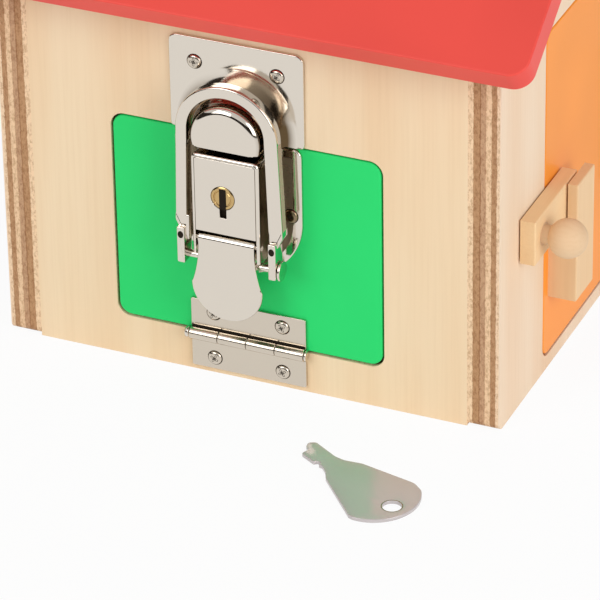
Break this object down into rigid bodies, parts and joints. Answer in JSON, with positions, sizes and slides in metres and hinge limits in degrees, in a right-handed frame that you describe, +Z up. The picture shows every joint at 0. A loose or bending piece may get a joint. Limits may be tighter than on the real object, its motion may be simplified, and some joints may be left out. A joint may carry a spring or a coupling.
{
  "type": "toy lock box",
  "caption": "House-shaped box of birch plywood with a pitched roof and hinged doors, each held by its own latch, with a loose flat key.",
  "frame": {"origin": "middle of the underside of the house", "axes": "+Z up, -Y the side with the green door, +X the side with the orange door"},
  "size_m": [0.2176, 0.2413, 0.2168],
  "materials": {
    "birch": "bare, sanded",
    "bare_wood": "bare, sanded",
    "red_paint": "gloss paint",
    "green_paint": "gloss paint",
    "orange_paint": "gloss paint",
    "blue_paint": "gloss paint",
    "yellow_paint": "gloss paint",
    "nickel": "bright plated",
    "brass": "polished"
  },
  "bodies": {
    "house": {"floor_board": "birch", "wall_front": "birch", "wall_right": "birch", "wall_back": "birch", "wall_left": "birch", "roof_front": "red_paint", "roof_back": "red_paint", "door_stop_front": "birch", "door_stop_right": "birch", "door_stop_back": "birch", "door_stop_left": "birch", "strike_plate": "nickel", "hinge_front_wall_leaf": "nickel", "hinge_right_wall_leaf": "nickel", "hinge_back_wall_leaf": "nickel", "hinge_left_wall_leaf": "nickel", "hinge_front_pin": "nickel", "hinge_right_pin": "nickel", "hinge_back_pin": "nickel", "hinge_left_pin": "nickel", "carcass_screws": "nickel", "latch_knob": "bare_wood", "latch_washer": "nickel", "bolt_keeper": "nickel", "turn_button_screw": "nickel"},
    "green_leaf": {"door_front": "green_paint", "hinge_front_door_leaf": "nickel", "latch_base_plate": "nickel", "latch_case": "nickel", "lever_pin": "nickel", "door_front_screws": "nickel"},
    "lock_core": {"lock_cylinder": "brass", "lock_cam": "brass"},
    "lever": {"latch_lever": "nickel", "bail_pin": "nickel"},
    "bail": {"latch_bail": "nickel"},
    "loose_key": {"key": "nickel"},
    "orange_leaf": {"door_right": "orange_paint", "hinge_right_door_leaf": "nickel", "latch_catch": "bare_wood", "door_right_screws": "nickel"},
    "turn_arm": {"latch_arm": "bare_wood"},
    "left_leaf": {"door_left": "blue_paint", "hinge_left_door_leaf": "nickel", "bolt_body": "nickel", "door_left_screws": "nickel"},
    "bolt": {"bolt_rod": "nickel"},
    "back_leaf": {"door_back": "yellow_paint", "hinge_back_door_leaf": "nickel", "door_back_screws": "nickel"},
    "button": {"turn_button": "bare_wood"}
  },
  "joints": [
    {"name": "green_door_swing", "type": "hinge", "parent": "house", "child": "green_leaf", "pos_m": [0, -0.07685, 0.0152], "axis": [1, 0, 0], "range_deg": [0, 90]},
    {"name": "lock_turn", "type": "hinge", "parent": "green_leaf", "child": "lock_core", "pos_m": [-0.0031, -0.087, 0.0758], "axis": [0, 1, 0], "range_deg": [0, 90]},
    {"name": "lever_lift", "type": "hinge", "parent": "green_leaf", "child": "lever", "pos_m": [-0.0023, -0.0855, 0.0587], "axis": [-1, 0, 0], "range_deg": [0, 105]},
    {"name": "bail_swing", "type": "hinge", "parent": "lever", "child": "bail", "pos_m": [-0.0023, -0.0839, 0.0506], "axis": [-1, 0, 0], "range_deg": [-136.5, 0]},
    {"name": "key_slide", "type": "slide", "parent": "house", "child": "loose_key", "axis": [1, 0, 0], "range_m": [0, 0.04]},
    {"name": "orange_door_swing", "type": "hinge", "parent": "house", "child": "orange_leaf", "pos_m": [0.09185, 0.035, 0.067], "axis": [0, 0, 1], "range_deg": [0, 105]},
    {"name": "turn_arm_turn", "type": "hinge", "parent": "house", "child": "turn_arm", "pos_m": [0.0933, -0.0507, 0.0642], "axis": [1, 0, 0], "range_deg": [0, 105]},
    {"name": "left_door_swing", "type": "hinge", "parent": "house", "child": "left_leaf", "pos_m": [-0.09185, 0.035, 0.067], "axis": [0, 0, -1], "range_deg": [0, 105]},
    {"name": "bolt_slide", "type": "slide", "parent": "left_leaf", "child": "bolt", "axis": [0, -1, 0], "range_m": [0, 0.012]},
    {"name": "back_door_swing", "type": "hinge", "parent": "house", "child": "back_leaf", "pos_m": [0, 0.07685, 0.0152], "axis": [-1, 0, 0], "range_deg": [0, 90]},
    {"name": "button_turn", "type": "hinge", "parent": "house", "child": "button", "pos_m": [0, 0.0781, 0.1015], "axis": [0, 1, 0], "range_deg": [0, 90]}
  ],
  "couplings": [
    {"joint": "bail_swing", "follows": "lever_lift", "ratio": -1.3}
  ]
}
